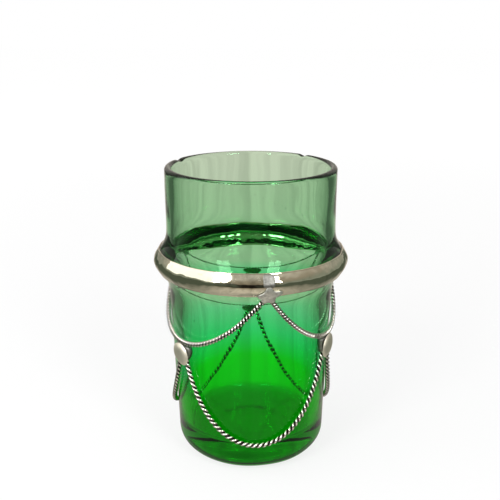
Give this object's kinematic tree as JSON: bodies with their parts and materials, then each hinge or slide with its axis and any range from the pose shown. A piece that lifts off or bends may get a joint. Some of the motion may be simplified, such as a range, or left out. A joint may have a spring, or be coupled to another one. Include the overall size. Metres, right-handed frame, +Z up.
{
  "type": "tea glass",
  "caption": "Green glass tumbler with a raised ring, held in a soldered white-metal mount: a band over the ring and twisted wire swags with domed bosses.",
  "frame": {"origin": "middle of the foot, on the table", "axes": "+Z up along the glass's axis; -Y faces the viewer, with the band's soldered seam just to the right of the front"},
  "size_m": [0.0622, 0.0623, 0.095],
  "materials": {
    "green_glass": "clear bottle-green glass, fire polished, with small seeds",
    "white_metal": "polished nickel silver, a white copper alloy, with dents and light tarnish",
    "wire": "two strands of white-metal wire twisted together, dark in the gaps",
    "solder": "dull grey soft solder, lumpy"
  },
  "bodies": {
    "root": {"glass_tumbler": "green_glass", "metal_band": "white_metal", "seam_solder": "solder", "lug_front": "solder", "lug_right": "solder", "lug_left": "solder", "upper_swag_right": "wire", "upper_swag_back": "wire", "upper_swag_left": "wire", "boss_solder_right": "solder", "boss_solder_back": "solder", "boss_solder_left": "solder", "boss_cap_right": "white_metal", "boss_cap_back": "white_metal", "boss_cap_left": "white_metal", "lower_swag_right": "wire", "lower_swag_left": "wire", "lower_swag_front": "wire"}
  },
  "joints": []
}
